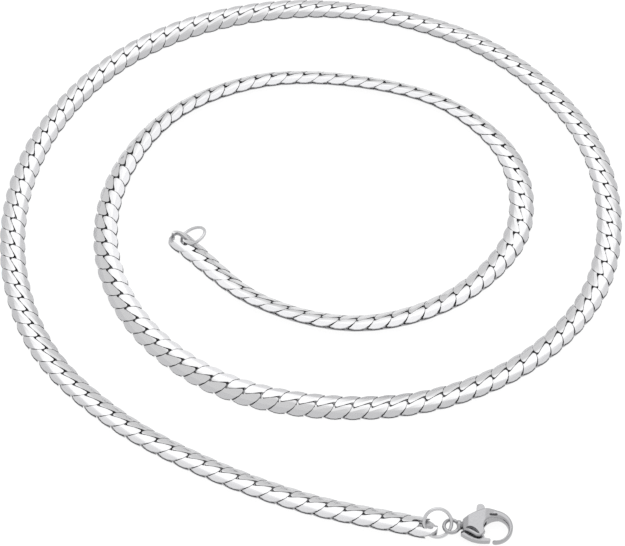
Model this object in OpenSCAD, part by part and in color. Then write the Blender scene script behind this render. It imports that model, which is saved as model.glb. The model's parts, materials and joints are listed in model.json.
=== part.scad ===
// A curb chain necklace with a lobster clasp, lying in an open spiral on a flat surface.
// Millimetres. X runs to the right, Y away from the front, Z up from the surface.
// The chain's 198 links are drawn here as one solid strap of the links' own cross-section,
// in two lengths that meet. The first and the last link, the rings and the clasp are whole.

/* [Chain] */
// Width over the chain's two outer edges
chain_w = 4.44; // [4.36:0.02:4.48]
// Thickness at the ridge along the middle
chain_t = 1.65; // [1.6:0.01:1.7]
// Width of the ridge
ridge_w = 0.4; // [0.3:0.05:0.5]
// Width between the two shoulders, where the gentle slopes turn into the bevels
shoulder_w = 2.6; // [2.4:0.05:2.8]
// Thickness at the shoulders
shoulder_t = 1.3; // [1.25:0.01:1.35]
// Thickness that the bevels leave at the outer edges
edge_t = 0.4; // [0.3:0.05:0.5]

/* [Link] */
// Length of one link over its two ends
link_l = 5.72; // [5.68:0.01:5.74]
// Length of the slot that stays open between the links, across the chain
slot_l = 0.9; // [0.86:0.02:1]
// Gap between neighbouring links, in the sharpest bend
link_gap = 0.08; // [0.06:0.01:0.09]
// Height between a link's raised arms and the next link's lowered ones
level_gap = 0.22; // [0.2:0.01:0.24]

/* [Rings] */
// Diameter of the wire of both rings
ring_wire = 0.56; // [0.52:0.01:0.57]
// Diameter of the jump ring, to the middle of its wire
jump_ring_d = 4.4; // [4.38:0.01:4.42]
// Diameter of the end ring, to the middle of its wire
end_ring_d = 4.4; // [4.36:0.01:4.44]

/* [Clasp] */
// Thickness of the clasp over its cheeks
clasp_t = 2.4; // [2.3:0.05:2.5]
// Thickness of the claw
claw_t = 1.6; // [1.5:0.05:1.8]
// Width of the claw's hole
claw_hole_w = 3.86; // [3.8:0.02:3.9]
// Length of the claw's hole, across the clasp
claw_hole_l = 4.2; // [4.14:0.02:4.24]
// Thickness of the lever plate
lever_t = 0.9; // [0.8:0.02:0.96]
// Radius of the pin that the lever turns on
pin_r = 0.35; // [0.3:0.01:0.38]
// Angle of the lever, 0 when the claw is closed
lever_angle = 0; // [0:1:25]

/* [Hidden] */
steel = [0.8, 0.8, 0.81];
round_fn = 64;
small_fn = 24;

// The route of the chain's middle line, from the first link's centre to the last one's.
// Columns: x, y, and the bank in degrees, positive where the strap's left edge is lifted.
route = [
    [-22.5, 0.5, -12], [-9.5, -12, -25], [7.5, -17, -20], [24, -11.5, -15],
    [35.5, 2.5, -5], [35.5, 20, 10], [24.5, 33.5, 20], [7.5, 39.5, 20],
    [-10, 39.5, 15], [-25.5, 31, 20], [-34.5, 15.5, 15], [-35.5, -2, 15],
    [-28.5, -18, 10], [-15, -29.5, 15], [2.5, -34, 5], [20, -32.5, -5],
    [36, -24.5, -10], [47.5, -11, -10], [52, 6, 0], [50, 24, 5],
    [41.5, 39.5, 5], [28.5, 51, 0], [11.5, 57.5, 5], [-6, 58.5, -5],
    [-23.5, 53.5, -10], [-37.5, 43.5, -5], [-47.5, 28.5, 0], [-52, 11.5, 0],
    [-51, -6.5, -5], [-44.5, -23, -10], [-32.5, -36, -15], [-17.5, -45.5, -15],
    [-1, -52.5, -15], [16.7, -56.9, -15]
];
route_end = len(route) - 1;
// The two lengths of strap meet at this point of the route
meet_at = 17;
// Spacing of the strap's cross-sections along the route, in points, and the least one at its ends
ring_step = 0.5;
least_step = 0.1;
// How far the heading looks ahead and back along the route, in points
look_ahead = 0.02;
// The strap stops this far short of an end link
end_gap = 0.1;
first_span = norm([route[1][0] - route[0][0], route[1][1] - route[0][1]]);
last_span = norm([route[route_end][0] - route[route_end - 1][0],
    route[route_end][1] - route[route_end - 1][1]]);
strap_start = (link_l / 2 + end_gap) / first_span;
strap_end = route_end - (link_l / 2 + end_gap) / last_span;

// The strap's cross-section, as across and up, which is also the outline that every link is pressed to
half_section = [[chain_w / 2, edge_t / 2], [shoulder_w / 2, shoulder_t / 2], [ridge_w / 2, chain_t / 2]];
upper_half = concat(half_section, [for (i = [2 : -1 : 0]) [-half_section[i][0], half_section[i][1]]]);
strap_section = concat(upper_half, [for (v = upper_half) -v]);

// Distance from one link's middle to the next one's
pitch = 3;
// The largest angle between two links that follow each other
sharpest_bend = 8.5;
// How square a link's outside is: 2 is an ellipse
outside_power = 1.9;
// Where a raised arm meets the end of its own link, as distance from the end and across
arm_end = [[0.3, 0.28], [0.08, 0.18], [0, 0]];
// The bridges between raised and lowered arms, at the link's end and at its rim
end_bridge = [[1.9, -0.04], [2.5, -0.2], [2.5, 0.2], [1.9, 0.04]];
rim_bridge = [[-0.25, -1.45], [-0.7, -2], [0.7, -2], [0.25, -1.45]];
// How far a bridge reaches into each arm
bridge_sink = 0.05;
// The first and the last link have a wider hole, for the ring, which lies toward the chain's end
end_hole_l = 3.5;
end_hole_w = 1.7;
end_hole_x = 0.45;
end_hole_power = 4;

// Where the rings lie: centre, then lean and turn in degrees, and the gap below them
ring_clearance = 0.01;
jump_ring_at = [19.5, -56.6];
jump_ring_lean = 40;
jump_ring_turn = 10;
end_ring_at = [-20.75, 2];
end_ring_lean = -25;
end_ring_turn = 60;

// The clasp's own frame has its origin at the middle of the claw's hole, and X away from the tail ring
clasp_at = [28.54, -57.56];
clasp_turn = -3.8;
tail_ring_at = [-6.92, 0.2];
tail_ring_d = 2.3;
tail_wire = 0.6;
collar_from = -6.05;
collar_to = -5.45;
collar_y = 0.44;
collar_r = 0.84;
groove_r = 0.66;
head_at = [-0.25, 0.42];
head_r = 2.93;
hook_tip_at = [-0.22, -2.28];
hook_tip_r = 0.25;
pivot_at = [-3.9, 1];
boss_r = 0.75;
pin_gap = 0.02;
lever_pin_gap = 0.05;
lever_side_gap = 0.06;
slot_t = lever_t + 2 * lever_side_gap;
blind_depth = 0.4;
pin_end_play = 0.05;
tab_end_at = [-2.43, 3.75];
tab_r = 0.62;
gate_tip_at = [-1.1, -2.1];
gate_tip_r = 0.27;
groove_depth = 0.6;
// How far a cutter reaches past what it cuts, and how far joined pieces reach into each other
cut_extra = 1;
overlap = 0.1;
// Outline of the shank and its cheeks, from the top of the claw round by the neck
shank_outline = [
    [-0.25, 3.3], [-1, 3.36], [-1.8, 3.24], [-3, 2.65], [-3.4, 2.45], [-4.4, 1.8], [-5.2, 1.2],
    [-5.2, -0.3], [-5, -0.75], [-4.3, -1.1], [-3.7, -1.45], [-3.15, -1.78], [-2.55, -1.85],
    [-2.1, -1.6], [-1.75, -1.1], [-0.3, -1]
];
// More than the shank's reach across the clasp, to both sides together
shank_reach = 10;
// Half the shank's thickness along X: it gets thinner toward the neck
side_profile = [[-5.3, 0.84], [-5.2, 0.84], [-4.3, clasp_t / 2], [0, clasp_t / 2]];
// The dark window in the top cheek
window_outline = [
    [-4.72, -0.52], [-4.3, -0.27], [-3.75, -0.27], [-3.2, -0.58], [-2.8, -1.02],
    [-2.56, -1.5], [-2.9, -1.46], [-3.4, -1.18], [-4.1, -0.82]
];
// What the lever swings through, open below, at the front and at the back
slot_outline = [
    [-5.7, -4], [-5.7, -0.75], [-5.15, 0.2], [-5.05, 1.2], [-4.95, 2.2], [-4.5, 6], [-1.2, 6],
    [-1.35, 2.55], [-1.45, 1.15], [-1.05, 0.45], [-1.05, -4]
];
// The claw's mouth, which the gate closes
mouth_outline = [[-0.22, -1], [-0.22, -3.5], [-3, -3.5], [-2.57, -1.86], [-2.1, -1.57], [-1.77, -1.1]];
// Where the gate's two edges bend, from the boss to the tip
gate_inner_edge = [[-2.9, 0.2], [-2.55, -0.9], [-2.05, -1.62], [-1.4, -1.82]];
gate_outer_edge = [[-2, -2.42], [-2.75, -2.4], [-3.75, -2.18], [-4.7, -1.72], [-5.4, -1.25], [-5.42, -0.9]];
tab_foot_right = [-1.8, 3.1];
tab_foot_left = [-3.05, 3.1];
// A groove in the lever's top face, along the edge of the cheek
gate_groove = [
    [-5.6, -1.1], [-5, -0.7], [-4.3, -1], [-3.7, -1.35], [-3.15, -1.66], [-2.55, -1.74], [-2.15, -1.6],
    [-2.3, -1.88], [-2.75, -2.04], [-3.3, -1.92], [-3.85, -1.66], [-4.3, -1.4], [-4.95, -1], [-5.6, -1.35]
];

function route_point(i) =
    i < 0 ? 2 * route[0] - route[1]
    : i > route_end ? 2 * route[route_end] - route[route_end - 1]
    : route[i];

// A smooth curve through the route's points: q counts points, so 2.5 is halfway from point 2 to point 3
function on_route(q) =
    let (i = min(floor(q), route_end - 1), u = q - i)
    let (a = route_point(i - 1), b = route_point(i), c = route_point(i + 1), d = route_point(i + 2))
    (2 * b + (c - a) * u + (2 * a - 5 * b + 4 * c - d) * u * u + (3 * b - a - 3 * c + d) * u * u * u) / 2;

function heading(q) =
    let (a = on_route(max(q - look_ahead, 0)), b = on_route(min(q + look_ahead, route_end)), v = b - a)
    atan2(v[1], v[0]);

// Height of the strap's middle when it rests on the surface with this bank
function rest_height(bank) = max([for (v = half_section) v[0] * sin(abs(bank)) + v[1] * cos(bank)]);

function strap_ring(q) =
    let (p = on_route(q), h = heading(q), s = sin(p[2]), c = cos(p[2]))
    [for (v = strap_section)
        [p[0] - sin(h) * (v[0] * c - v[1] * s),
         p[1] + cos(h) * (v[0] * c - v[1] * s),
         rest_height(p[2]) + v[0] * s + v[1] * c]];

// Joins rings of points, each with the same number, into one closed solid
module skin(rings, closed) {
    n = len(rings[0]);
    m = len(rings);
    points = [for (ring = rings) for (p = ring) p];
    sides = [for (i = [0 : m - (closed ? 1 : 2)]) for (j = [0 : n - 1])
        let (a = i * n, b = (i + 1) % m * n, k = (j + 1) % n)
        each [[a + j, b + j, b + k], [a + j, b + k, a + k]]];
    caps = closed ? [] : [[for (j = [0 : n - 1]) j], [for (j = [0 : n - 1]) m * n - 1 - j]];
    polyhedron(points, concat(sides, caps));
}

module strap(from, to) {
    inside = [for (q = [ceil(from / ring_step) : floor(to / ring_step)]) q * ring_step];
    stops = [for (q = inside) if (q > from + least_step && q < to - least_step) q];
    skin([for (q = concat([from], stops, [to])) strap_ring(q)], false);
}

// A point of an oval of half-lengths a and b, where a power of 2 is an ellipse and more is squarer
function oval(a, b, t, power) =
    [a * sign(cos(t)) * pow(abs(cos(t)), 2 / power), b * sign(sin(t)) * pow(abs(sin(t)), 2 / power)];

// Points of an arc from one angle to the other
function arc(middle, r, from, to, steps = 8) =
    [for (i = [0 : steps]) let (a = from + (to - from) * i / steps) middle + r * [cos(a), sin(a)]];

// Outline of a link with an extra margin all round, between two angles
function link_outline(margin, from, to) =
    [for (t = [from : -18 : to]) oval(link_l / 2 + margin, chain_w / 2 + margin, t, outside_power)];

// A link has four arms. Two are raised, and two, turned about X, are lowered. An arm begins at the line
// where it meets the next link's arm, goes round the end of the link, and follows its rim. There it
// leaves room for the end of the link before, even in the sharpest bend.
module arms() {
    slot_w = 2 * pitch - link_l;
    play = link_gap / 2 + pitch / 2 * tan(sharpest_bend / 2);
    slot_edge = -slot_l / 2 - play;
    inner_edge = concat(
        [[-slot_w / 2, slot_edge], [slot_w / 2, slot_edge], [pitch / 2, -link_gap / 2]],
        [for (v = arm_end) [link_l / 2 - v[0], v[1]]]);
    for (side = [0, 180]) rotate(side) difference() {
        translate([0, 0, level_gap / 2]) linear_extrude(chain_t)
            polygon(concat(inner_edge, link_outline(0, -9, -135)));
        rotate(sharpest_bend / 2) translate([-pitch, 0]) rotate(sharpest_bend / 2)
            linear_extrude(2 * chain_t) polygon(link_outline(link_gap, 0, -342));
    }
}

// The links are pressed and cut to one outline along the whole chain
module pressed_bar() {
    rotate([90, 0, 90]) linear_extrude(link_l + 1, center = true) polygon(strap_section);
}

// Joins a raised arm to the lowered one beneath it
module bridge(outline) {
    linear_extrude(level_gap + 2 * bridge_sink, center = true) polygon(outline);
}

module curb_link() {
    intersection() {
        pressed_bar();
        union() {
            arms();
            rotate([180, 0, 0]) arms();
            for (side = [0, 180]) rotate(side) {
                bridge(end_bridge);
                bridge(rim_bridge);
            }
        }
    }
}

module end_link() {
    difference() {
        curb_link();
        translate([end_hole_x, 0, 0]) linear_extrude(2 * chain_t, center = true)
            polygon([for (t = [9 : 18 : 351]) oval(end_hole_l / 2, end_hole_w / 2, t, end_hole_power)]);
    }
}

module on_chain(q) {
    p = on_route(q);
    translate([p[0], p[1], rest_height(p[2])]) rotate([p[2], 0, heading(q)]) children();
}

module wire_ring(d) {
    rotate_extrude($fn = round_fn) translate([d / 2, 0]) circle(d = ring_wire, $fn = small_fn);
}

// A wire ring that leans about X, turned about Z, with its lowest point just clear of the surface
module leaning_ring(at, d, lean, turn) {
    height = d / 2 * sin(abs(lean)) + ring_wire / 2 + ring_clearance;
    translate([at[0], at[1], height]) rotate([lean, 0, turn]) wire_ring(d);
}

module chain_inner() {
    color(steel) strap(strap_start, meet_at);
}

module chain_outer() {
    color(steel) strap(meet_at, strap_end);
}

module inner_end_link() {
    color(steel) on_chain(0) rotate(180) end_link();
}

module outer_end_link() {
    color(steel) on_chain(route_end) end_link();
}

module end_ring() {
    color(steel) leaning_ring(end_ring_at, end_ring_d, end_ring_lean, end_ring_turn);
}

module jump_ring() {
    color(steel) leaning_ring(jump_ring_at, jump_ring_d, jump_ring_lean, jump_ring_turn);
}

module in_clasp() {
    translate([clasp_at[0], clasp_at[1], clasp_t / 2]) rotate(clasp_turn) children();
}

module plate(t) {
    linear_extrude(t, center = true) children();
}

module tail_ring() {
    translate([tail_ring_at[0], tail_ring_at[1], 0])
        rotate_extrude($fn = round_fn) translate([tail_ring_d / 2, 0]) circle(d = tail_wire, $fn = small_fn);
}

// A round length of the neck
module neck(from, to, r) {
    translate([from, collar_y, 0]) rotate([0, 90, 0]) cylinder(r = r, h = to - from, $fn = round_fn);
}

module claw_and_shank() {
    last = len(side_profile) - 1;
    side = concat(side_profile, [for (i = [last : -1 : 0]) [side_profile[i][0], -side_profile[i][1]]]);
    difference() {
        union() {
            plate(claw_t) translate(head_at) circle(r = head_r, $fn = round_fn);
            intersection() {
                plate(clasp_t) polygon(shank_outline);
                rotate([90, 0, 0]) linear_extrude(shank_reach, center = true) polygon(side);
            }
            neck(collar_from, collar_to, collar_r);
            neck(collar_to - overlap, side_profile[1][0] + overlap, groove_r);
        }
        plate(clasp_t + cut_extra)
            polygon([for (t = [0 : 7.5 : 352.5]) oval(claw_hole_w / 2, claw_hole_l / 2, t, 2)]);
        plate(clasp_t + cut_extra) polygon(mouth_outline);
    }
    plate(claw_t) translate(hook_tip_at) circle(r = hook_tip_r, $fn = small_fn);
}

module clasp_body() {
    top_cheek = (clasp_t - slot_t) / 2;
    color(steel) in_clasp() {
        difference() {
            claw_and_shank();
            plate(slot_t) polygon(slot_outline);
            translate([0, 0, slot_t / 2 - overlap]) linear_extrude(top_cheek + cut_extra) polygon(window_outline);
            translate([pivot_at[0], pivot_at[1], -clasp_t / 2 - cut_extra])
                cylinder(r = pin_r + pin_gap, h = (clasp_t + slot_t) / 2 + blind_depth + cut_extra, $fn = small_fn);
        }
        tail_ring();
    }
}

module clasp_lever() {
    outline = concat(
        arc(tab_end_at, tab_r, 180, 0), [tab_foot_right], arc(pivot_at, boss_r, 0, -30), gate_inner_edge,
        arc(gate_tip_at, gate_tip_r, 60, -90), gate_outer_edge, arc(pivot_at, boss_r, 200, 140), [tab_foot_left]);
    color(steel) in_clasp() translate(pivot_at) rotate(lever_angle) translate(-pivot_at)
        difference() {
            plate(lever_t) polygon(outline);
            translate(pivot_at) cylinder(r = pin_r + lever_pin_gap, h = lever_t + cut_extra,
                center = true, $fn = small_fn);
            translate([0, 0, lever_t / 2 - groove_depth]) linear_extrude(groove_depth + cut_extra)
                polygon(gate_groove);
        }
}

module clasp_pin() {
    color(steel) in_clasp() translate([pivot_at[0], pivot_at[1], -clasp_t / 2 + pin_end_play])
        cylinder(r = pin_r, h = (clasp_t + slot_t) / 2 + blind_depth - 2 * pin_end_play, $fn = small_fn);
}

chain_inner();
chain_outer();
inner_end_link();
outer_end_link();
end_ring();
jump_ring();
clasp_body();
clasp_lever();
clasp_pin();
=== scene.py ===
# %% [markdown]
# A curb chain necklace in stainless steel, laid out on a white surface
#
# This notebook dresses a packed construction model. The model knows where every solid is and
# what it weighs. Blender adds what the eye sees: 198 pressed links that pass through each
# other, two wire rings, and a cast lobster clasp with its sprung lever.
#
# The construction model draws the chain as one solid strap, because a weight and a collision
# shape need no more. Here the strap is hidden, and the real links take its place on the same
# line. Every length below is in metres, or is written in millimetres and multiplied by MM.

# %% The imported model
import json
import math

import bmesh
import bpy
from mathutils import Matrix, Vector

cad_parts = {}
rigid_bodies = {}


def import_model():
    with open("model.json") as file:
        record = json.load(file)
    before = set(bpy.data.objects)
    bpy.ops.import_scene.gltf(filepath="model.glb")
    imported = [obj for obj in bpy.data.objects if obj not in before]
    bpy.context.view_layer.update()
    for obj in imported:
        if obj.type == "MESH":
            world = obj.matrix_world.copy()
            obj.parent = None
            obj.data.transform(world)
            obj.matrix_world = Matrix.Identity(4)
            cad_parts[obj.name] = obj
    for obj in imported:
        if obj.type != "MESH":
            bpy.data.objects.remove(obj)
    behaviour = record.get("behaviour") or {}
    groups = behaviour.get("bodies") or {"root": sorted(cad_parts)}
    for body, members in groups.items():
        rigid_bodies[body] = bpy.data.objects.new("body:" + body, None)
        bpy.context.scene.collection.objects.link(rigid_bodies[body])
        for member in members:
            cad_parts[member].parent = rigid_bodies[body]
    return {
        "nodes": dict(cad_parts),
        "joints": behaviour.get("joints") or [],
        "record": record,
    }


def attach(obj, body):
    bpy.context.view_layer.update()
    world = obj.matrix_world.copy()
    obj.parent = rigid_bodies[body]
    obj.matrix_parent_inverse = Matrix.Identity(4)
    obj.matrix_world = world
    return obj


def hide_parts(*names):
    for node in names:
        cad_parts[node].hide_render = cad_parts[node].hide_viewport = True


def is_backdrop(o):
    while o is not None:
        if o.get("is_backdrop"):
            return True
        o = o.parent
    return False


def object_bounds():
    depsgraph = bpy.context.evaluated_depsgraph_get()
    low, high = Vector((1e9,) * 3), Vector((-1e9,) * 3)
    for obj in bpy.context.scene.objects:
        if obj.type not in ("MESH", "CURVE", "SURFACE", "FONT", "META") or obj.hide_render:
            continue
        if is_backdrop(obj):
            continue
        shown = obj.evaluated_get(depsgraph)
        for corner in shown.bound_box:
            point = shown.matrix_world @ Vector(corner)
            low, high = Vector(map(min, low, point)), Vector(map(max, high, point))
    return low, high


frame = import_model()
cad_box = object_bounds()
MM = 0.001
cad_size = [round((high - low) / MM, 1) for low, high in zip(*cad_box)]
print("nodes:", ", ".join(sorted(frame["nodes"])))
print("size of the construction model in mm:", cad_size)

# %% [markdown]
# The camera
#
# The photograph looks down on the necklace from the front. The turns of the spiral are
# narrower from front to back than from side to side, and the near ones are drawn larger than
# the far ones. Together these give the camera's height and distance: it stands 51 degrees
# above the surface and a third of a metre away, with a long lens. A camera is placed most
# simply from the point that it looks at: walk back from there along the line of sight.

# %% The camera
scene = bpy.context.scene
aim = Vector((0, -5.3, 0)) * MM
elevation = math.radians(51.25)
distance = 353.7 * MM
lens_data = bpy.data.cameras.new("camera")
lens_data.sensor_width = 36
lens_data.lens = 118.4
lens_data.clip_start = 0.01
camera = bpy.data.objects.new("camera", lens_data)
camera.location = aim + distance * Vector((0, -math.cos(elevation), math.sin(elevation)))
camera.rotation_euler = (math.pi / 2 - elevation, 0, 0)
scene.collection.objects.link(camera)
scene.camera = camera
print("camera at", [round(value, 4) for value in camera.location])

# %% [markdown]
# One function for nodes, one for colours
#
# Materials and Geometry Nodes are both trees of nodes. Making a node takes the same three
# steps each time: create it, choose its settings, then fill its inputs with a number or with
# a link from another node. One small function does all three, so that each line below reads
# like one step of a recipe.
#
# Colours are written as they look on a screen, in hex. A renderer adds up light, so it needs
# linear numbers, and a second function converts them.

# %% Helpers for nodes and colours
def add(tree, kind, inputs=None, **settings):
    node = tree.nodes.new(kind)
    for name, value in settings.items():
        setattr(node, name, value)
    for key, value in (inputs or {}).items():
        if isinstance(value, bpy.types.NodeSocket):
            tree.links.new(value, node.inputs[key])
        else:
            node.inputs[key].default_value = value
    return node


def linear(hex_colour):
    channels = [int(hex_colour[i:i + 2], 16) / 255 for i in (1, 3, 5)]
    return [c / 12.92 if c <= 0.04045 else ((c + 0.055) / 1.055) ** 2.4 for c in channels] + [1]


print("a mid grey in linear light:", [round(value, 3) for value in linear("#808080")])

# %% [markdown]
# The light and the surface
#
# Polished steel has hardly any colour of its own. It shows what surrounds it, so the light is
# the most important part of its look. A jeweller's photographer puts the piece in a white
# tent, with a broad soft lamp above and behind it, a little to the right. The pressed faces
# of the links mirror the lamp and turn white, while everything that faces elsewhere mirrors
# the plain walls and stays pale grey.
#
# A world shader can be such a tent. The tent's walls have an even brightness, and the lamp is
# a soft round patch around one direction. The dot product of a direction with the lamp's own
# direction is the cosine of the angle between them, and a ramp turns it into brightness. The
# patch is at its brightest within 12 degrees of its middle and fades out at 36 degrees.
# The surface is white paper, bright enough to come out as the picture's plain white ground.

# %% The tent, the lamp and the paper
lamp_elevation = math.radians(55)
lamp_azimuth = math.radians(8)
lamp_core = math.cos(math.radians(12))
lamp_rim = math.cos(math.radians(36))
wall_light = 0.95
lamp_light = 1.6

world = bpy.data.worlds.new("light_tent")
world.use_nodes = True
scene.world = world
tent = world.node_tree
direction = add(tent, "ShaderNodeTexCoord").outputs["Generated"]
toward_lamp = add(tent, "ShaderNodeVectorMath", {
    0: direction,
    1: (
        math.sin(lamp_azimuth) * math.cos(lamp_elevation),
        math.cos(lamp_azimuth) * math.cos(lamp_elevation),
        math.sin(lamp_elevation),
    ),
}, operation="DOT_PRODUCT")
brightness = add(tent, "ShaderNodeMapRange", {
    "Value": toward_lamp.outputs["Value"],
    "From Min": lamp_rim, "From Max": lamp_core,
    "To Min": wall_light, "To Max": lamp_light,
}, interpolation_type="SMOOTHSTEP")
tent.links.new(brightness.outputs["Result"], tent.nodes["Background"].inputs["Strength"])
tent.nodes["Background"].inputs["Color"].default_value = linear("#FFFFFF")

paper = bpy.data.materials.new("white_paper")
paper.use_nodes = True
paper_shader = paper.node_tree.nodes["Principled BSDF"]
paper_shader.inputs["Base Color"].default_value = linear("#808080")
paper_shader.inputs["Roughness"].default_value = 0.9
paper_shader.inputs["Emission Color"].default_value = linear("#FFFFFF")
paper_shader.inputs["Emission Strength"].default_value = 0.85

floor_reach = 0.6
floor_mesh = bpy.data.meshes.new("floor")
corners = [(-1, -1), (1, -1), (1, 1), (-1, 1)]
floor_mesh.from_pydata([(x * floor_reach, y * floor_reach, 0) for x, y in corners], [], [(0, 1, 2, 3)])
floor_mesh.materials.append(paper)
floor = bpy.data.objects.new("floor", floor_mesh)
scene.collection.objects.link(floor)
floor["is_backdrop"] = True
scene.view_settings.view_transform = "Standard"
print("the lamp is", round(lamp_light / wall_light, 1), "times as bright as the tent")

# %% [markdown]
# The steel
#
# The chain is stainless steel. Its links are made of round wire, and the whole chain is
# rolled flat and ground along both rims. The pressed faces are smooth mirrors. The ground
# rims and the links' walls carry fine marks of the tools, so they shine softly instead.
#
# One material can hold both finishes. The link's mesh carries an attribute for the finish and the
# painted gap shade: it is 0 on the pressed faces, 0.5 near the rims and 1 on the walls and on the
# faces hidden between the two levels. The material mixes its tone, roughness and bump with it.
# The darker tone of the rims and walls is partly the steel's finish and partly painted shade: the
# darkest tone, on the walls and between the levels, paints the shade that falls in the narrow gaps
# between the links. The tool marks are drawn 0.3 mm apart. Real ones are
# finer, but at this distance anything smaller than that falls between the picture's pixels.
# A second attribute gives each link a slightly different tone, as polishing by hand does.

# %% Materials for pressed, drawn and cast steel
def metal(name, tone, roughness):
    material = bpy.data.materials.new(name)
    material.use_nodes = True
    shader = material.node_tree.nodes["Principled BSDF"]
    shader.inputs["Base Color"].default_value = linear(tone)
    shader.inputs["Metallic"].default_value = 1
    shader.inputs["Roughness"].default_value = roughness
    return material, material.node_tree, shader


def grain(tree, size, detail=2.0, stretch=(1, 1, 1)):
    place = add(tree, "ShaderNodeTexCoord").outputs["Object"]
    stretched = add(tree, "ShaderNodeMapping", {"Vector": place, "Scale": stretch})
    return add(tree, "ShaderNodeTexNoise", {
        "Vector": stretched.outputs["Vector"], "Scale": 1 / size, "Detail": detail,
    }).outputs["Fac"]


# Pressed and ground stainless steel: pale mirrors with satin edges, and darker walls that partly carry
# painted shade for the gaps between links.
chain_steel, tree, shader = metal("stainless_steel_pressed_and_ground", "#D0D0D1", 0.16)
finish = add(tree, "ShaderNodeAttribute", attribute_name="finish").outputs["Fac"]
tone = add(tree, "ShaderNodeAttribute", attribute_name="tone").outputs["Fac"]
tool_marks = grain(tree, 0.3 * MM, 3)
marks = add(tree, "ShaderNodeMath", {0: tool_marks, 1: finish}, operation="MULTIPLY").outputs[0]
shade = add(tree, "ShaderNodeMath", {0: finish, 1: tone}, operation="ADD").outputs[0]
# The ramp runs from the pressed faces' tone to a darker one for the rims and the darkest for the walls;
# the darkest is partly painted shade for the gaps between links.
tones_and_gap_shade = add(tree, "ShaderNodeValToRGB", {"Fac": shade})
tones_and_gap_shade.color_ramp.elements[0].color = linear("#D2D2D3")
tones_and_gap_shade.color_ramp.elements[1].color = linear("#AEAEB0")
bevel_tone = tones_and_gap_shade.color_ramp.elements.new(0.6)
bevel_tone.color = linear("#C8C8CA")
tree.links.new(tones_and_gap_shade.outputs["Color"], shader.inputs["Base Color"])
satin = add(tree, "ShaderNodeMapRange", {
    "Value": marks, "From Max": 0.7, "To Min": 0.14, "To Max": 0.5,
})
tree.links.new(satin.outputs["Result"], shader.inputs["Roughness"])
ripple = add(tree, "ShaderNodeBump", {"Height": marks, "Strength": 0.3, "Distance": 0.03 * MM})
tree.links.new(ripple.outputs["Normal"], shader.inputs["Normal"])

# Drawn steel wire, polished after it was bent: bright, with a narrow highlight.
wire_steel, tree, shader = metal("stainless_steel_drawn_wire", "#C8C8CA", 0.14)
waves = grain(tree, 0.8 * MM)
waviness = add(tree, "ShaderNodeBump", {"Height": waves, "Strength": 0.15, "Distance": 0.02 * MM})
tree.links.new(waviness.outputs["Normal"], shader.inputs["Normal"])

# Cast steel, tumbled in a barrel: a soft shine over a skin that is never quite even.
cast_steel, tree, shader = metal("stainless_steel_cast_and_tumbled", "#A8A8AA", 0.26)
cast_skin = grain(tree, 0.35 * MM, 3)
soft_shine = add(tree, "ShaderNodeMapRange", {
    "Value": cast_skin, "From Min": 0.3, "From Max": 0.7, "To Min": 0.2, "To Max": 0.34,
})
tree.links.new(soft_shine.outputs["Result"], shader.inputs["Roughness"])
pits = add(tree, "ShaderNodeBump", {"Height": cast_skin, "Strength": 0.15, "Distance": 0.03 * MM})
tree.links.new(pits.outputs["Normal"], shader.inputs["Normal"])

# Steel wire as drawn: greyer than the polished pieces, with fine lines along the pin.
pin_steel, tree, shader = metal("stainless_steel_drawn_pin", "#B4B5B8", 0.3)
lines = grain(tree, 0.1 * MM, 2, (1, 1, 0.1))
draw_marks = add(tree, "ShaderNodeBump", {"Height": lines, "Strength": 0.2, "Distance": 0.01 * MM})
tree.links.new(draw_marks.outputs["Normal"], shader.inputs["Normal"])
print("materials:", [m.name for m in (chain_steel, wire_steel, cast_steel, pin_steel)])

# %% [markdown]
# The line that the chain lies on
#
# The necklace lies in an open spiral of a turn and three quarters. The line runs from the
# first link, inside, to the last one, beside the clasp. Its points were placed on the
# photograph and are the construction model's own. The third number is the bank in degrees: a
# flat chain that is bent sideways tilts, and one of its edges lifts off the surface.
#
# A smooth curve has to pass through all the points. A Catmull-Rom curve does that and needs
# no handles: each piece between two points is a cubic that looks at one more point on either
# side. Past the two ends it looks at mirrored points.

# %% The route
route = [
    (-0.0225, 0.0005, -12), (-0.0095, -0.012, -25), (0.0075, -0.017, -20), (0.024, -0.0115, -15),
    (0.0355, 0.0025, -5), (0.0355, 0.02, 10), (0.0245, 0.0335, 20), (0.0075, 0.0395, 20),
    (-0.01, 0.0395, 15), (-0.0255, 0.031, 20), (-0.0345, 0.0155, 15), (-0.0355, -0.002, 15),
    (-0.0285, -0.018, 10), (-0.015, -0.0295, 15), (0.0025, -0.034, 5), (0.02, -0.0325, -5),
    (0.036, -0.0245, -10), (0.0475, -0.011, -10), (0.052, 0.006, 0), (0.05, 0.024, 5),
    (0.0415, 0.0395, 5), (0.0285, 0.051, 0), (0.0115, 0.0575, 5), (-0.006, 0.0585, -5),
    (-0.0235, 0.0535, -10), (-0.0375, 0.0435, -5), (-0.0475, 0.0285, 0), (-0.052, 0.0115, 0),
    (-0.051, -0.0065, -5), (-0.0445, -0.023, -10), (-0.0325, -0.036, -15), (-0.0175, -0.0455, -15),
    (-0.001, -0.0525, -15), (0.0167, -0.0569, -15),
]


def curve_through(points, steps, closed=False):
    points = [Vector(p) for p in points]
    count = len(points)
    if closed:
        around = [points[-1]] + points + points[:2]
    else:
        around = [2 * points[0] - points[1]] + points + [2 * points[-1] - points[-2]]
    curve = []
    for i in range(count if closed else count - 1):
        a, b, c, d = around[i:i + 4]
        for step in range(steps):
            u = step / steps
            curve.append((2 * b + (c - a) * u + (2 * a - 5 * b + 4 * c - d) * u ** 2
                          + (3 * b - a - 3 * c + d) * u ** 3) / 2)
    return curve if closed else curve + [points[-1]]


steps_between_points = 40
line = curve_through(route, steps_between_points)
length = sum((q.xy - p.xy).length for p, q in zip(line, line[1:]))
print("the chain's middle line is", round(length / MM, 1), "mm long")

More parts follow.
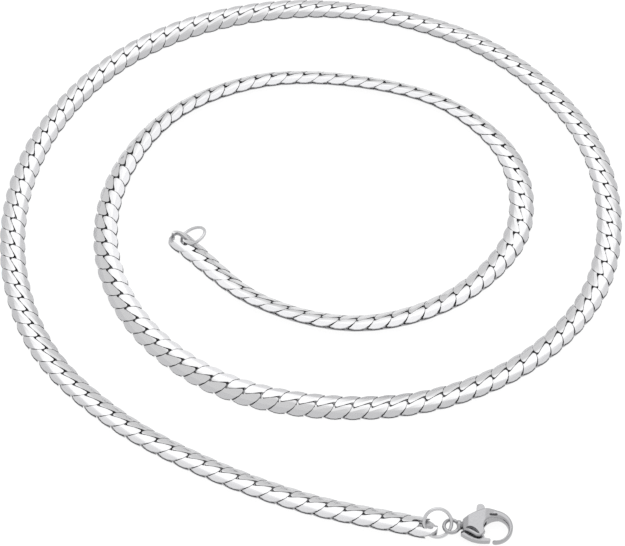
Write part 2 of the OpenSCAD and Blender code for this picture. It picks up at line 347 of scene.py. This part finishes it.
# %% [markdown]
# Plates, cuts and joins
#
# The links and the clasp are made the way a workshop would make them: a plate with a certain
# outline is cut out, and more material is sawn or drilled away. In Blender a plate is an
# outline at two heights with a skin around it, and the saw is a Boolean modifier.
#
# A power of 2 makes an oval an ellipse, and a higher one squares it. The tools that cut right
# through a piece reach 2 mm past its middle.
#
# These pieces are built in millimetres, one unit for each. Only a finished piece is scaled
# down to metres, because some modifiers can't work with sizes below a tenth of a millimetre.

# %% Helpers for solid pieces
tool_reach = 2


def oval(a, b, angle, power):
    c, s = math.cos(angle), math.sin(angle)
    x = math.copysign(a * abs(c) ** (2 / power), c)
    y = math.copysign(b * abs(s) ** (2 / power), s)
    return Vector((x, y))


def skin(name, rings, closed=True):
    corners = len(rings[0])
    count = len(rings)
    faces = []
    for i in range(count if closed else count - 1):
        for j in range(corners):
            k = (j + 1) % corners
            here, there = i * corners, (i + 1) % count * corners
            faces.append((here + j, here + k, there + k, there + j))
    if not closed:
        faces.append(tuple(range(corners - 1, -1, -1)))
        faces.append(tuple((count - 1) * corners + j for j in range(corners)))
    mesh = bpy.data.meshes.new(name)
    mesh.from_pydata([p for ring in rings for p in ring], [], faces)
    shell = bmesh.new()
    shell.from_mesh(mesh)
    bmesh.ops.recalc_face_normals(shell, faces=shell.faces)
    shell.to_mesh(mesh)
    shell.free()
    return mesh


def settle(piece, name):
    depsgraph = bpy.context.evaluated_depsgraph_get()
    mesh = bpy.data.meshes.new_from_object(
        piece.evaluated_get(depsgraph), preserve_all_data_layers=True, depsgraph=depsgraph)
    piece.modifiers.clear()
    mesh.name = name
    piece.data = mesh
    return piece


def plate(name, outline, low, high):
    ring = [Vector(p).to_2d() for p in outline]
    mesh = skin(name, [[(p.x, p.y, z) for p in ring] for z in (low, high)], closed=False)
    piece = bpy.data.objects.new(name, mesh)
    scene.collection.objects.link(piece)
    return piece


def carve(piece, operation, *tools):
    for tool in tools:
        cut = piece.modifiers.new("cut", "BOOLEAN")
        cut.operation = operation
        cut.solver = "EXACT"
        cut.object = tool
    settle(piece, piece.name)
    for tool in tools:
        bpy.data.objects.remove(tool)


def join(name, *pieces):
    merged = bmesh.new()
    for piece in pieces:
        merged.from_mesh(piece.data)
        bpy.data.objects.remove(piece)
    mesh = bpy.data.meshes.new(name)
    merged.to_mesh(mesh)
    merged.free()
    whole = bpy.data.objects.new(name, mesh)
    scene.collection.objects.link(whole)
    return whole


print("an oval's corner:", oval(2, 1, math.pi / 4, 2.2))

# %% [markdown]
# One link
#
# A curb link starts as an oval of round wire, twisted so that two opposite quarters stand up
# and the other two go down. The chain is then rolled flat and ground along both rims. The
# wire is squeezed until hardly a gap is left between one link and the next, so from above the
# chain looks like a row of tiles. Each link shows two of them: one toward the near rim, one
# toward the far rim. The same two, turned upside down, are the link's lower arms.
#
# So a link is four arms. The arm's outline begins where it meets the next link's arm, goes
# round the end of the link, and follows the rim to the place where the link before ends. Two
# links turn against each other in a bend, by 8.5 degrees at most, and the outline leaves
# room for that. Small bridges join the raised arms to the lowered ones, and everything that
# sticks out of the pressed section is cut away. The first and the last link get a wider hole,
# nearer to the chain's end, for the rings.

# %% The link's sizes, in millimetres
link_count = 198
chain_w, edge_t = 4.44, 0.4
shoulder_w, shoulder_t = 2.6, 1.3
ridge_w, chain_t = 0.4, 1.65
pitch, link_l, slot_l = 3.0, 5.72, 0.9
link_gap, level_gap = 0.08, 0.22
outside_power = 1.9
corner_step = 18
arm_end = [(0.3, 0.28), (0.08, 0.18), (0, 0)]
end_bridge = [(1.9, -0.04), (2.5, -0.2), (2.5, 0.2), (1.9, 0.04)]
rim_bridge = [(-0.25, -1.45), (-0.7, -2), (0.7, -2), (0.25, -1.45)]
bridge_sink = 0.05
end_hole_at, end_hole_l, end_hole_w, end_hole_power = Vector((0.45, 0)), 3.5, 1.7, 4
sharpest_bend = math.radians(8.5)
half_section = [(chain_w / 2, edge_t / 2), (shoulder_w / 2, shoulder_t / 2), (ridge_w / 2, chain_t / 2)]
upper_half = half_section + [(-across, up) for across, up in reversed(half_section)]
strap_section = upper_half + [(-across, -up) for across, up in upper_half]


def link_outline(margin, start, end):
    turns = [math.radians(degrees) for degrees in range(start, end, -corner_step)]
    return [oval(link_l / 2 + margin, chain_w / 2 + margin, turn, outside_power) for turn in turns]


def turned(piece, axis):
    copy = bpy.data.objects.new(piece.name, piece.data.copy())
    copy.data.transform(Matrix.Rotation(math.pi, 4, axis))
    return copy


# %% The link and the two end links
slot_w = 2 * pitch - link_l
play = link_gap / 2 + pitch / 2 * math.tan(sharpest_bend / 2)
inner_edge = [
    (-slot_w / 2, -slot_l / 2 - play), (slot_w / 2, -slot_l / 2 - play), (pitch / 2, -link_gap / 2),
    *[(link_l / 2 - back, out) for back, out in arm_end],
]
arm = plate("arm", inner_edge + link_outline(0, -9, -136), level_gap / 2, chain_t)
link_before = plate("link_before", link_outline(link_gap, 0, -343), 0, 2 * chain_t)
half_bend = Matrix.Rotation(sharpest_bend / 2, 4, "Z")
link_before.data.transform(half_bend @ Matrix.Translation((-pitch, 0, 0)) @ half_bend)
pressed_bar = plate("pressed_bar", strap_section, -link_l, link_l)
pressed_bar.data.transform(Matrix(((0, 0, 1, 0), (1, 0, 0, 0), (0, 1, 0, 0), (0, 0, 0, 1))))
carve(arm, "DIFFERENCE", link_before)
carve(arm, "INTERSECT", pressed_bar)
raised = join("raised", turned(arm, "Z"), arm)
link = join("curb_link", turned(raised, "X"), raised)

bridge_half = level_gap / 2 + bridge_sink
bridges = [
    plate("end_bridge", end_bridge, -bridge_half, bridge_half),
    plate("rim_bridge", rim_bridge, -bridge_half, bridge_half),
]
carve(link, "UNION", join("bridges", *[turned(bridge, "Z") for bridge in bridges], *bridges))

last_link = bpy.data.objects.new("last_link", link.data.copy())
scene.collection.objects.link(last_link)
end_hole = [end_hole_at + oval(end_hole_l / 2, end_hole_w / 2, math.radians(angle), end_hole_power)
            for angle in range(corner_step // 2, 360, corner_step)]
carve(last_link, "DIFFERENCE", plate("end_hole", end_hole, -tool_reach, tool_reach))
first_link = turned(last_link, "Z")
first_link.name = "first_link"
for piece in (link, last_link):
    scene.collection.objects.unlink(piece)
for piece in (link, first_link, last_link):
    print(piece.name, "has", len(piece.data.polygons), "faces")

# %% [markdown]
# Crisp where it was cut, smooth where it was bent
#
# A link's pressed faces and its walls meet in crisp edges, but its outline is round although
# it is drawn with few corners. The angle between two faces tells the cases apart: an edge
# stays crisp only where they differ by more than 26 degrees. The attribute for the finish and
# the painted gap shade is set here too. Walls and the faces in the thin gap between two levels
# count as rough and get the darkest tone, which is partly painted shade for the gaps between
# links; faces that are lower than the shoulder count as half rough, and the others as pressed.

# %% Edges, and the attribute for the finish and the painted gap shade
crisp_from = math.radians(26)
wall_normal = 0.1
for piece in (link, first_link, last_link):
    mesh = piece.data
    mesh.polygons.foreach_set("use_smooth", [True] * len(mesh.polygons))
    mesh.set_sharp_from_angle(angle=crisp_from)
    finish = mesh.attributes.new("finish", "FLOAT", "FACE")
    for polygon, mark in zip(mesh.polygons, finish.data):
        # Walls and faces between the levels get value 1: rougher, and painted darker as shade in the gaps
        # between links.
        upright = abs(polygon.normal.z) < wall_normal or abs(polygon.center.z) < level_gap
        near_rim = abs(polygon.center.z) < shoulder_t / 2
        mark.value = 1 if upright else 0.5 if near_rim else 0
    mesh.transform(Matrix.Scale(MM, 4))
    print(piece.name, "has", sum(mark.value == 0 for mark in finish.data), "pressed faces")

# %% [markdown]
# From one link to a chain
#
# Placing 198 links by hand would be slow and could never be changed. Geometry Nodes do it
# from a rule. The route becomes a curve, the curve is divided into 197 equal steps, and one
# link is placed on each point. Its heading comes from the curve's tangent, and its bank from
# the third number of the route. A banked strap rests on its lower edge, so its middle is
# lifted by a height that the nodes work out with the same formula as the construction model.
#
# The tree has named inputs for the sizes. It ends by making the instances real, because an
# exported file keeps only real meshes.

# %% Helpers for trees and finished meshes
def geometry_tree(name, sockets):
    tree = bpy.data.node_groups.new(name, "GeometryNodeTree")
    tree.interface.new_socket("Geometry", in_out="INPUT", socket_type="NodeSocketGeometry")
    tree.interface.new_socket("Geometry", in_out="OUTPUT", socket_type="NodeSocketGeometry")
    for label, kind in sockets.items():
        tree.interface.new_socket(label, in_out="INPUT", socket_type="NodeSocket" + kind)
    return tree, add(tree, "NodeGroupInput").outputs


def finish_tree(tree, geometry, material):
    real = add(tree, "GeometryNodeRealizeInstances", {"Geometry": geometry})
    dressed = add(tree, "GeometryNodeSetMaterial", {
        "Geometry": real.outputs["Geometry"], "Material": material,
    })
    add(tree, "NodeGroupOutput", {"Geometry": dressed.outputs["Geometry"]})


def grow(name, start_mesh, tree, values):
    piece = bpy.data.objects.new(name, start_mesh)
    scene.collection.objects.link(piece)
    modifier = piece.modifiers.new("nodes", "NODES")
    modifier.node_group = tree
    for item in tree.interface.items_tree:
        if item.in_out == "INPUT" and item.name in values:
            modifier[item.identifier] = values[item.name]
    return settle(piece, name)


# %% The tree that lays the links
def calculate(operation, a, b=0.0):
    return add(tree, "ShaderNodeMath", {0: a, 1: b}, operation=operation).outputs[0]


tree, given = geometry_tree("links_on_a_route", {
    "Link": "Object", "First link": "Object", "Last link": "Object", "Links": "Int",
    "Half width at the edge": "Float", "Half thickness at the edge": "Float",
    "Half width at the shoulder": "Float", "Half thickness at the shoulder": "Float",
    "Half width at the ridge": "Float", "Half thickness at the ridge": "Float", "Steel": "Material",
})
curve = add(tree, "GeometryNodeMeshToCurve", {"Mesh": given["Geometry"]})
steps = add(tree, "GeometryNodeResampleCurve", {
    "Curve": curve.outputs["Curve"], "Count": given["Links"],
}, mode="COUNT")
bank = add(tree, "GeometryNodeInputNamedAttribute", {"Name": "bank"}, data_type="FLOAT").outputs[0]

tilt = calculate("SINE", calculate("ABSOLUTE", bank))
upright = calculate("COSINE", bank)
height = 0.0
for corner in ("edge", "shoulder", "ridge"):
    across = calculate("MULTIPLY", given["Half width at the " + corner], tilt)
    up = calculate("MULTIPLY", given["Half thickness at the " + corner], upright)
    height = calculate("MAXIMUM", height, calculate("ADD", across, up))
lift = add(tree, "ShaderNodeCombineXYZ", {"Z": height})
lifted = add(tree, "GeometryNodeSetPosition", {
    "Geometry": steps.outputs["Curve"], "Offset": lift.outputs[0],
})

tangent = add(tree, "ShaderNodeSeparateXYZ", {0: add(tree, "GeometryNodeInputTangent").outputs[0]}).outputs
heading = calculate("ARCTAN2", tangent["Y"], tangent["X"])
turn = add(tree, "ShaderNodeCombineXYZ", {"X": bank, "Z": heading})
facing = add(tree, "FunctionNodeEulerToRotation", {0: turn.outputs[0]})
first = add(tree, "GeometryNodeCurveEndpointSelection", {"Start Size": 1, "End Size": 0}).outputs[0]
last = add(tree, "GeometryNodeCurveEndpointSelection", {"Start Size": 0, "End Size": 1}).outputs[0]
others = add(tree, "FunctionNodeBooleanMath", {0: first, 1: last}, operation="NOR").outputs[0]
all_links = add(tree, "GeometryNodeJoinGeometry")
for socket, where in (("Link", others), ("First link", first), ("Last link", last)):
    one_link = add(tree, "GeometryNodeObjectInfo", {"Object": given[socket]})
    placed = add(tree, "GeometryNodeInstanceOnPoints", {
        "Points": lifted.outputs["Geometry"], "Selection": where,
        "Instance": one_link.outputs["Geometry"], "Rotation": facing.outputs[0],
    })
    tree.links.new(placed.outputs["Instances"], all_links.inputs["Geometry"])
tone_spread = 0.12
random_tone = add(tree, "FunctionNodeRandomValue", {2: 0.0, 3: tone_spread, "Seed": 4}, data_type="FLOAT")
toned = add(tree, "GeometryNodeStoreNamedAttribute", {
    "Geometry": all_links.outputs["Geometry"], "Name": "tone", "Value": random_tone.outputs[1],
}, data_type="FLOAT", domain="INSTANCE")
finish_tree(tree, toned.outputs["Geometry"], given["Steel"])
print("nodes in the tree:", len(tree.nodes))

# %% The chain
route_mesh = bpy.data.meshes.new("route")
flat_line = [(p.x, p.y, 0) for p in line]
route_mesh.from_pydata(flat_line, [(i, i + 1) for i in range(len(line) - 1)], [])
banks = route_mesh.attributes.new("bank", "FLOAT", "POINT")
banks.data.foreach_set("value", [math.radians(p.z) for p in line])
sizes = {
    "Link": link, "First link": first_link, "Last link": last_link,
    "Links": link_count, "Steel": chain_steel,
}
for corner, (across, up) in zip(("edge", "shoulder", "ridge"), half_section):
    sizes["Half width at the " + corner] = across * MM
    sizes["Half thickness at the " + corner] = up * MM
chain = grow("curb_chain", route_mesh, tree, sizes)
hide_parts("chain_inner", "chain_outer", "inner_end_link", "outer_end_link")
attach(chain, "necklace")
print("faces in the chain:", len(chain.data.polygons))

# %% [markdown]
# Two wire rings
#
# A ring of wire joins the last link to the clasp, and another waits at the chain's free end
# for the clasp to hook into. Each is a length of round wire bent into a circle. A circle
# swept along a circle is a torus, and a small tree makes one from its two sizes and its
# place. The same tree serves both rings. They lean on the chain as they do in the
# photograph, and their lowest point is just clear of the surface.

# %% The tree for a ring, and the rings
tree, given = geometry_tree("wire_ring", {
    "Radius": "Float", "Wire radius": "Float", "Place": "Vector", "Lean": "Vector", "Steel": "Material",
})
bend = add(tree, "GeometryNodeCurvePrimitiveCircle", {"Resolution": 72, "Radius": given["Radius"]})
wire = add(tree, "GeometryNodeCurvePrimitiveCircle", {"Resolution": 20, "Radius": given["Wire radius"]})
swept = add(tree, "GeometryNodeCurveToMesh", {
    "Curve": bend.outputs["Curve"], "Profile Curve": wire.outputs["Curve"],
})
leaning = add(tree, "FunctionNodeEulerToRotation", {0: given["Lean"]})
lying = add(tree, "GeometryNodeTransform", {
    "Geometry": swept.outputs["Mesh"], "Translation": given["Place"], "Rotation": leaning.outputs[0],
})
finish_tree(tree, lying.outputs["Geometry"], given["Steel"])

ring_wire = 0.56 * MM
ring_d = 4.4 * MM
ring_clearance = 0.01 * MM
rings = {
    "jump_ring": ((0.0195, -0.0566), 40, 10),
    "end_ring": ((-0.02075, 0.002), -25, 60),
}
for name, ((x, y), lean, ring_turn) in rings.items():
    height = ring_d / 2 * math.sin(math.radians(abs(lean))) + ring_wire / 2 + ring_clearance
    ring = grow(name + "_wire", bpy.data.meshes.new(name), tree, {
        "Radius": ring_d / 2, "Wire radius": ring_wire / 2, "Place": (x, y, height),
        "Lean": (math.radians(lean), 0, math.radians(ring_turn)), "Steel": wire_steel,
    })
    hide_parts(name)
    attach(ring, "necklace")
    print(name, "is", round((ring_d + ring_wire) / MM, 2), "mm across outside")

# %% [markdown]
# The clasp's own frame
#
# A lobster clasp is drawn most easily lying straight, in its own frame: the origin is the
# middle of the claw's hole, X points away from the tail ring, and one unit is one
# millimetre. The construction record tells where the lever's hinge and the claw's hole are in
# the necklace. Two points in both frames are enough to find the turn and the shift between
# them, so the finished meshes land in the right place. The hole is an oval whose far half is
# a little flatter than its near half.

# %% From the clasp's frame to the necklace's
hole_at = Vector((0, 0))
hole_w, hole_l = 3.86, 4.2
hole_far = 1.87
pivot_at = Vector((-3.9, 1))
clasp_t = 2.4
claw_t = 1.6
hinge = Vector(frame["joints"][0]["pos_m"])
mounts = {mount["name"]: mount for mount in frame["record"]["mounts"]}
hook = Vector(mounts["clasp_hook"]["pos_m"])
drawn, real = hole_at - pivot_at, (hook - hinge).xy
clasp_turn = math.atan2(real.y, real.x) - math.atan2(drawn.y, drawn.x)
turning = Matrix.Rotation(clasp_turn, 4, "Z")
from_pivot = Matrix.Translation((-pivot_at).to_3d())
clasp_frame = Matrix.Translation(hinge) @ turning @ Matrix.Scale(MM, 4) @ from_pivot
print("the clasp is turned by", round(math.degrees(clasp_turn), 2), "degrees")

# %% [markdown]
# Plates, arcs and cuts
#
# Both parts of the clasp start from outlines. A plate is an outline with a thickness. Arcs
# make the round stretches of an outline, and the curve function from above makes the free
# ones. Material is taken away with Boolean modifiers, as a file or a drill would do it.

# %% Helpers for the clasp
def arc(middle, r, start, end, steps=10):
    turns = [math.radians(start + (end - start) * i / steps) for i in range(steps + 1)]
    return [middle + r * Vector((math.cos(a), math.sin(a))) for a in turns]


def disc(middle, r):
    return arc(middle, r, 0, 345, 23)


def soften(piece, voxel, passes):
    remesh = piece.modifiers.new("remesh", "REMESH")
    remesh.mode = "VOXEL"
    remesh.voxel_size = voxel
    smooth = piece.modifiers.new("smooth", "SMOOTH")
    smooth.factor = 0.5
    smooth.iterations = passes
    settle(piece, piece.name)


def into_place(piece, material, crisp_angle):
    mesh = piece.data
    mesh.transform(clasp_frame)
    mesh.materials.clear()
    mesh.materials.append(material)
    mesh.polygons.foreach_set("use_smooth", [True] * len(mesh.polygons))
    mesh.polygons.foreach_set("material_index", [0] * len(mesh.polygons))
    mesh.set_sharp_from_angle(angle=math.radians(crisp_angle))
    mesh.update()


# %% [markdown]
# The body of the clasp
#
# A clasp like this is cast in one piece with its tail ring, then tumbled until no edge is
# sharp. A good way to copy that is to build it roughly from simple closed shapes, melt them
# together with a voxel remesh, and smooth the result: the remesh plays the casting, and the
# smoothing the tumbling. What is sawn or drilled afterwards is cut after the smoothing, so
# it keeps its crisp edges.
#
# The shank is a plate that gets thinner toward the neck and toward the claw. The claw is
# swept: its section is an oval as wide as the space between the hole and the round head, at
# every angle, and its height shrinks toward the hook's tip. The neck is turned, with a collar
# and a groove, and the tail ring is a torus.

# %% The shank
side_reach = 5
rough_voxel, rough_passes = 0.08, 12
shank_outline = [
    (0.4, 3.18), (-0.25, 3.3), (-1, 3.36), (-1.8, 3.24), (-3, 2.65), (-3.4, 2.45),
    (-4.4, 1.8), (-5.2, 1.2), (-5.2, -0.3), (-5, -0.75), (-4.3, -1.1), (-3.7, -1.45),
    (-3.15, -1.78), (-2.55, -1.85), (-2.1, -1.6), (-1.75, -1.1), (0.4, -1),
]
side_profile = [(-5.5, 0.84), (-5.2, 0.84), (-4.3, 1.2), (-1.8, 1.2), (0.5, 0.55)]
mouth_outline = [(-0.22, -1), (-0.22, -3.5), (-3, -3.5), (-2.57, -1.86), (-2.1, -1.57), (-1.77, -1.1)]
shank = plate("shank", shank_outline, -clasp_t / 2, clasp_t / 2)
side_outline = side_profile + [(x, -z) for x, z in reversed(side_profile)]
side_view = plate("side", side_outline, -side_reach, side_reach)
side_view.data.transform(Matrix.Rotation(math.pi / 2, 4, "X"))
carve(shank, "INTERSECT", side_view)
hole_outline = [oval(hole_w / 2, hole_l / 2 if angle > 180 else hole_far, math.radians(angle), 2)
                for angle in range(0, 360, 6)]
hole = plate("hole", hole_outline, -tool_reach, tool_reach)
mouth = plate("mouth", mouth_outline, -tool_reach, tool_reach)
carve(shank, "DIFFERENCE", hole, mouth)
soften(shank, rough_voxel, rough_passes)
print("shank:", len(shank.data.polygons), "faces")

# %% The claw
head_at = Vector((-0.25, 0.42))
head_r = 2.93
claw_from, claw_to = 176, -93
tip_l = 0.37
tip_taper = 0.3
claw_sections = 60
tip_sections = 6
section_points = 20
section_power = 2.7


def claw_section(angle, share):
    direction = Vector((math.cos(angle), math.sin(angle)))
    across = -head_at.dot(direction)
    outside = -across + math.sqrt(across ** 2 - head_at.length_squared + head_r ** 2)
    half_l = hole_far if direction.y > 0 else hole_l / 2
    inside = 1 / math.hypot(direction.x / (hole_w / 2), direction.y / half_l)
    half = (outside - inside) / 2 * share
    middle = direction * (outside + inside) / 2
    height = claw_t / 2 * share * (1 - tip_taper * (1 - math.sin(angle)) / 2)
    ring = []
    for i in range(section_points):
        point = oval(half, height, 2 * math.pi * i / section_points, section_power)
        flat = middle + direction * point.x
        ring.append((flat.x, flat.y, point.y))
    return ring


claw_rings = []
for i in range(claw_sections + 1):
    angle = math.radians(claw_from + (claw_to - claw_from) * i / claw_sections)
    claw_rings.append(claw_section(angle, 1))
for i in range(1, tip_sections):
    past = math.radians(90 * i / tip_sections)
    angle = math.radians(claw_to) - tip_l / (hole_l / 2) * math.sin(past)
    claw_rings.append(claw_section(angle, math.cos(past)))
claw = bpy.data.objects.new("claw", skin("claw", claw_rings, closed=False))
scene.collection.objects.link(claw)
print("claw:", len(claw_rings), "sections")

# %% The tail ring and the neck, and the casting melted together
tail_ring_at = Vector((-6.92, 0.2))
tail_ring_d, tail_wire = 2.3, 0.6
tail_steps, tail_wire_steps = 48, 16
neck_y, neck_steps = 0.44, 24
neck_profile = [(-6.05, 0.74), (-5.95, 0.84), (-5.55, 0.84), (-5.45, 0.74), (-5.43, 0.62), (-5, 0.62)]
fine_voxel, fine_passes = 0.06, 4

tail_sections = []
for i in range(tail_steps):
    around = 2 * math.pi * i / tail_steps
    direction = Vector((math.cos(around), math.sin(around)))
    ring = []
    for j in range(tail_wire_steps):
        a = 2 * math.pi * j / tail_wire_steps
        flat = tail_ring_at + (tail_ring_d / 2 + tail_wire / 2 * math.cos(a)) * direction
        ring.append((flat.x, flat.y, tail_wire / 2 * math.sin(a)))
    tail_sections.append(ring)
neck_turns = [2 * math.pi * j / neck_steps for j in range(neck_steps)]
neck_sections = [[(x, neck_y + r * math.cos(a), r * math.sin(a)) for a in neck_turns]
                 for x, r in neck_profile]
tail = bpy.data.objects.new("tail", skin("tail", tail_sections))
neck = bpy.data.objects.new("neck", skin("neck", neck_sections, closed=False))
for piece in (tail, neck):
    scene.collection.objects.link(piece)
body = join("clasp_casting", shank, claw, tail, neck)
soften(body, fine_voxel, fine_passes)
print("casting:", len(body.data.polygons), "faces")

# %% [markdown]
# What is cut into the casting
#
# A slot runs through the shank for the lever. Above it the top cheek has a window, where the
# photograph shows a dark crescent with the gate under it. A small pit near the far edge of
# the claw is in the photograph too. The lever's pin sits in a blind hole, drilled from below.

# %% The slot, the window, the pit and the pin's hole
lever_t = 0.9
lever_side_gap = 0.06
pin_r, pin_gap, blind_depth = 0.35, 0.02, 0.4
pit_from, pit_to, pit_r, pit_depth = Vector((-0.9, 2.2)), Vector((0.02, 2.36)), 0.2, 0.6
overlap = 0.1
slot_outline = [
    (-5.7, -4), (-5.7, -0.75), (-5.15, 0.2), (-5.05, 1.2), (-4.95, 2.2), (-4.5, 6),
    (-1.2, 6), (-1.35, 2.55), (-1.45, 1.15), (-1.05, 0.45), (-1.05, -4),
]
window_outline = [
    (-4.72, -0.52), (-4.3, -0.27), (-3.75, -0.27), (-3.2, -0.58), (-2.8, -1.02), (-2.56, -1.5),
    (-2.9, -1.46), (-3.4, -1.18), (-4.1, -0.82),
]
slot_half = lever_t / 2 + lever_side_gap
slot = plate("slot", slot_outline, -slot_half, slot_half)
window_curve = curve_through([(x, y, 0) for x, y in window_outline], 6, closed=True)
window = plate("window", window_curve, slot_half - overlap, tool_reach)
lean = math.degrees(math.atan2(*(pit_to - pit_from).yx))
pit_outline = arc(pit_to, pit_r, lean - 90, lean + 90) + arc(pit_from, pit_r, lean + 90, lean + 270)
pit = plate("pit", pit_outline, claw_t / 2 - pit_depth, tool_reach)
pin_hole = plate("pin_hole", disc(pivot_at, pin_r + pin_gap), -tool_reach, slot_half + blind_depth)
carve(body, "DIFFERENCE", slot, window, pit, pin_hole)
into_place(body, cast_steel, 50)
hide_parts("clasp_body")
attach(body, "necklace")
print("clasp body:", len(body.data.polygons), "faces")

# %% [markdown]
# The lever
#
# The lever is one plate: a tab for the thumbnail above, a round boss on the pin, and the gate
# that closes the claw below. Pressing the tab swings the gate inward, against a spring hidden
# in the shank. Its edges are rounded with a Bevel modifier, as tumbling would round them. A
# groove along the gate makes the bold dark line beside the shank's edge.

# %% The lever
boss_r = 0.75
tab_end_at, tab_r = Vector((-2.43, 3.75)), 0.62
tab_foot_left, tab_foot_right = (-3.05, 3.1), (-1.8, 3.1)
gate_tip_at, gate_tip_r = Vector((-1.1, -2.1)), 0.27
gate_inner_edge = [(-2.9, 0.2), (-2.55, -0.9), (-2.05, -1.62), (-1.4, -1.82)]
gate_outer_edge = [
    (-2, -2.42), (-2.75, -2.4), (-3.75, -2.18), (-4.7, -1.72), (-5.4, -1.25), (-5.42, -0.9),
]
lever_outline = (
    arc(tab_end_at, tab_r, 180, 0) + [tab_foot_right] + arc(pivot_at, boss_r, 0, -30) + gate_inner_edge
    + arc(gate_tip_at, gate_tip_r, 60, -90) + gate_outer_edge + arc(pivot_at, boss_r, 200, 140)
    + [tab_foot_left]
)
gate_groove = [
    (-5.6, -1.1), (-5, -0.7), (-4.3, -1), (-3.7, -1.35), (-3.15, -1.66), (-2.55, -1.74),
    (-2.15, -1.6), (-2.3, -1.88), (-2.75, -2.04), (-3.3, -1.92), (-3.85, -1.66), (-4.3, -1.4),
    (-4.95, -1), (-5.6, -1.35),
]
groove_depth = 0.6
lever_pin_gap = 0.05
edge_r = 0.16
lever = plate("clasp_lever_plate", lever_outline, -lever_t / 2, lever_t / 2)
rounding = lever.modifiers.new("rounding", "BEVEL")
rounding.width = edge_r
rounding.segments = 3
rounding.limit_method = "ANGLE"
rounding.angle_limit = math.radians(60)
settle(lever, "clasp_lever_plate")
bore = plate("bore", disc(pivot_at, pin_r + lever_pin_gap), -lever_t, lever_t)
groove = plate("groove", gate_groove, lever_t / 2 - groove_depth, lever_t)
carve(lever, "DIFFERENCE", bore, groove)
into_place(lever, cast_steel, 40)
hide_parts("clasp_lever")
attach(lever, "lever")
print("lever:", len(lever.data.polygons), "faces")

# %% The pin keeps its own mesh and gets its steel
pin = frame["nodes"]["clasp_pin"]
pin.data.materials.clear()
pin.data.materials.append(pin_steel)

# %% [markdown]
# A last look at the sizes
#
# The dressed model has to be as large as the construction model. Both sizes are printed.

# %% Sizes and the end
visual_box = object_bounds()
visual_size = [round((high - low) / MM, 1) for low, high in zip(*visual_box)]
print("size of the dressed model in mm:", visual_size)
